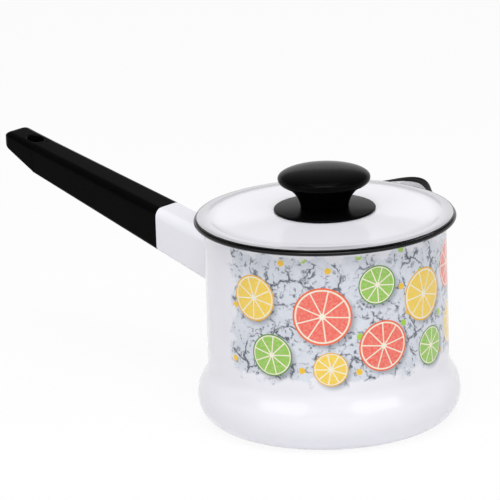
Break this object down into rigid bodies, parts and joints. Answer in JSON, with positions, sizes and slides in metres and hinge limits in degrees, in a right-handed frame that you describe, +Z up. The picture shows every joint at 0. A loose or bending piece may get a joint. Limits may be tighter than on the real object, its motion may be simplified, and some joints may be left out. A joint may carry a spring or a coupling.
{
  "type": "enamel saucepan",
  "caption": "Enamelled steel saucepan with a flared foot, rolled rim, side pouring spout, long straight handle with a moulded grip and hanging hole, and a lift-off lid with a mushroom knob.",
  "frame": {"origin": "centre of the flat base, on the face that stands on the hob", "axes": "+Z up along the pan's axis, handle along -X, spout towards +Y"},
  "size_m": [0.3244, 0.1613, 0.1474],
  "materials": {
    "white_enamel": "glossy vitreous enamel fired on drawn steel, black at the rim, with a printed band on the wall",
    "black_phenolic": "polished compression-moulded phenolic",
    "zinc_steel": "bright zinc plate",
    "brass": "turned"
  },
  "bodies": {
    "pan": {"pan_shell": "white_enamel", "handle_socket": "white_enamel", "handle_grip": "black_phenolic", "grip_screw": "zinc_steel"},
    "lid": {"lid_shell": "white_enamel", "knob_skirt": "black_phenolic", "knob": "black_phenolic", "knob_insert": "brass", "screw_washer": "zinc_steel", "knob_screw": "zinc_steel"}
  },
  "joints": [
    {"name": "lid_lift", "type": "slide", "parent": "pan", "child": "lid", "axis": [0, 0, 1], "range_m": [0, 0.12]}
  ]
}
